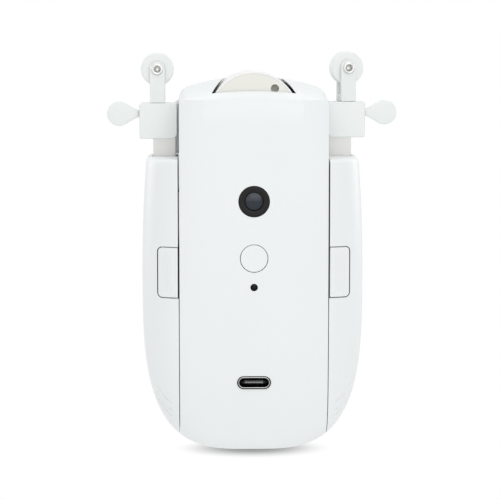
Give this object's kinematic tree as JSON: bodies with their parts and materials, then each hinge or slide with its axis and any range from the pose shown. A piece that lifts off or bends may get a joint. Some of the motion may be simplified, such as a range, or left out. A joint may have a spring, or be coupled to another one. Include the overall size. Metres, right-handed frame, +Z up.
{
  "type": "curtain robot",
  "caption": "White rail-hung curtain robot: rounded body, drive wheel in a top slot, sprung arms with swivelling roller forks and thumb screws, release tabs, light sensor and charging inlet.",
  "frame": {"origin": "Middle of the flat foot, which is the bottom centre of the whole object's box.", "axes": "+Z is up towards the rail, +X is to the right seen from the front panel, -Y is the way the front panel faces."},
  "size_m": [0.083, 0.0434, 0.1133],
  "materials": {
    "white_shell": "satin white moulded plastic",
    "white_arm": "plain white moulded plastic",
    "cream_wheel": "cream moulded plastic",
    "wheel_rubber": "pale soft tread",
    "black_trim": "black moulded plastic",
    "smoked_lens": "smoked clear plastic",
    "steel": "bright plated steel",
    "gear_plastic": "natural acetal",
    "frame_plastic": "dark moulded plastic",
    "board_green": "solder mask",
    "battery_wrap": "coloured wrap over a metal can",
    "lead_sleeve": "wire insulation"
  },
  "bodies": {
    "housing": {"front_cover": "white_shell", "rear_cover": "white_shell", "left_side_shell": "white_shell", "right_side_shell": "white_shell", "drive_frame": "frame_plastic", "gear_motor": "steel", "front_bearing": "steel", "rear_bearing": "steel", "idler_pin": "steel", "sensor_bezel": "black_trim", "sensor_lens": "smoked_lens", "light_sensor": "black_trim", "tact_switch": "frame_plastic", "status_light_pipe": "smoked_lens", "inlet_shell": "steel", "inlet_tongue": "black_trim", "main_board": "board_green", "battery_pack": "battery_wrap", "battery_lead": "lead_sleeve", "motor_lead": "lead_sleeve", "left_arm_spring": "steel", "right_arm_spring": "steel", "left_tab_spring": "steel", "right_tab_spring": "steel", "rear_cover_screw_1": "steel", "rear_cover_screw_2": "steel", "rear_cover_screw_3": "steel", "rear_cover_screw_4": "steel", "left_shell_screw_1": "steel", "left_shell_screw_2": "steel", "right_shell_screw_1": "steel", "right_shell_screw_2": "steel"},
    "drive_wheel": {"drive_hub": "cream_wheel", "drive_tyre": "wheel_rubber", "drive_shaft": "steel", "wheel_gear": "gear_plastic"},
    "idler": {"idler_gear": "gear_plastic"},
    "pinion": {"motor_pinion": "gear_plastic", "motor_shaft": "steel"},
    "left_arm": {"left_arm": "white_arm", "left_rod_nut": "steel"},
    "right_arm": {"right_arm": "white_arm", "right_rod_nut": "steel"},
    "left_fork": {"left_fork": "white_arm", "left_axle": "steel"},
    "right_fork": {"right_fork": "white_arm", "right_axle": "steel"},
    "left_roller": {"left_roller": "white_arm"},
    "right_roller": {"right_roller": "white_arm"},
    "left_clamp_screw": {"left_clamp_screw": "white_arm"},
    "right_clamp_screw": {"right_clamp_screw": "white_arm"},
    "left_release_tab": {"left_release_tab": "white_shell"},
    "right_release_tab": {"right_release_tab": "white_shell"},
    "front_button": {"front_button": "white_shell", "switch_plunger": "black_trim"}
  },
  "joints": [
    {"name": "drive_wheel_spin", "type": "hinge", "parent": "housing", "child": "drive_wheel", "pos_m": [0, 0, 0.0953], "axis": [0, 1, 0], "continuous": true},
    {"name": "idler_spin", "type": "hinge", "parent": "housing", "child": "idler", "pos_m": [0, 0, 0.0838], "axis": [0, 1, 0], "continuous": true},
    {"name": "pinion_spin", "type": "hinge", "parent": "housing", "child": "pinion", "pos_m": [0, 0, 0.0733], "axis": [0, 1, 0], "continuous": true},
    {"name": "left_arm_slide", "type": "slide", "parent": "housing", "child": "left_arm", "axis": [0, 0, 1], "range_m": [0, 0.014], "stiffness_N_per_m": 120, "springref_m": -0.01, "deforming": ["left_arm_spring"]},
    {"name": "right_arm_slide", "type": "slide", "parent": "housing", "child": "right_arm", "axis": [0, 0, 1], "range_m": [0, 0.0136], "stiffness_N_per_m": 120, "springref_m": -0.01, "deforming": ["right_arm_spring"]},
    {"name": "left_fork_swivel", "type": "hinge", "parent": "left_arm", "child": "left_fork", "pos_m": [-0.027, 0, 0.099], "axis": [0, 0, 1], "range_deg": [-90, 90]},
    {"name": "right_fork_swivel", "type": "hinge", "parent": "right_arm", "child": "right_fork", "pos_m": [0.027, 0, 0.09935], "axis": [0, 0, 1], "range_deg": [-98, 82]},
    {"name": "left_roller_spin", "type": "hinge", "parent": "left_fork", "child": "left_roller", "pos_m": [-0.027, 0, 0.1083], "axis": [0, 1, 0], "continuous": true},
    {"name": "right_roller_spin", "type": "hinge", "parent": "right_fork", "child": "right_roller", "pos_m": [0.027, 0, 0.10865], "axis": [-0.1392, 0.9903, 0], "continuous": true},
    {"name": "left_clamp_turn", "type": "hinge", "parent": "left_arm", "child": "left_clamp_screw", "pos_m": [-0.03215, 0, 0.0956], "axis": [-1, 0, 0], "range_deg": [0, 360]},
    {"name": "right_clamp_turn", "type": "hinge", "parent": "right_arm", "child": "right_clamp_screw", "pos_m": [0.03215, 0, 0.09595], "axis": [1, 0, 0], "range_deg": [0, 360]},
    {"name": "left_tab_press", "type": "slide", "parent": "housing", "child": "left_release_tab", "axis": [0, 1, 0], "range_m": [0, 0.0012], "stiffness_N_per_m": 150, "springref_m": -0.003},
    {"name": "right_tab_press", "type": "slide", "parent": "housing", "child": "right_release_tab", "axis": [0, 1, 0], "range_m": [0, 0.0012], "stiffness_N_per_m": 150, "springref_m": -0.003},
    {"name": "front_button_press", "type": "slide", "parent": "housing", "child": "front_button", "axis": [0, 1, 0], "range_m": [0, 0.0006], "stiffness_N_per_m": 150, "springref_m": -0.003}
  ],
  "couplings": [
    {"joint": "idler_spin", "follows": "drive_wheel_spin", "ratio": -0.64286},
    {"joint": "pinion_spin", "follows": "drive_wheel_spin", "ratio": 1.2857}
  ]
}
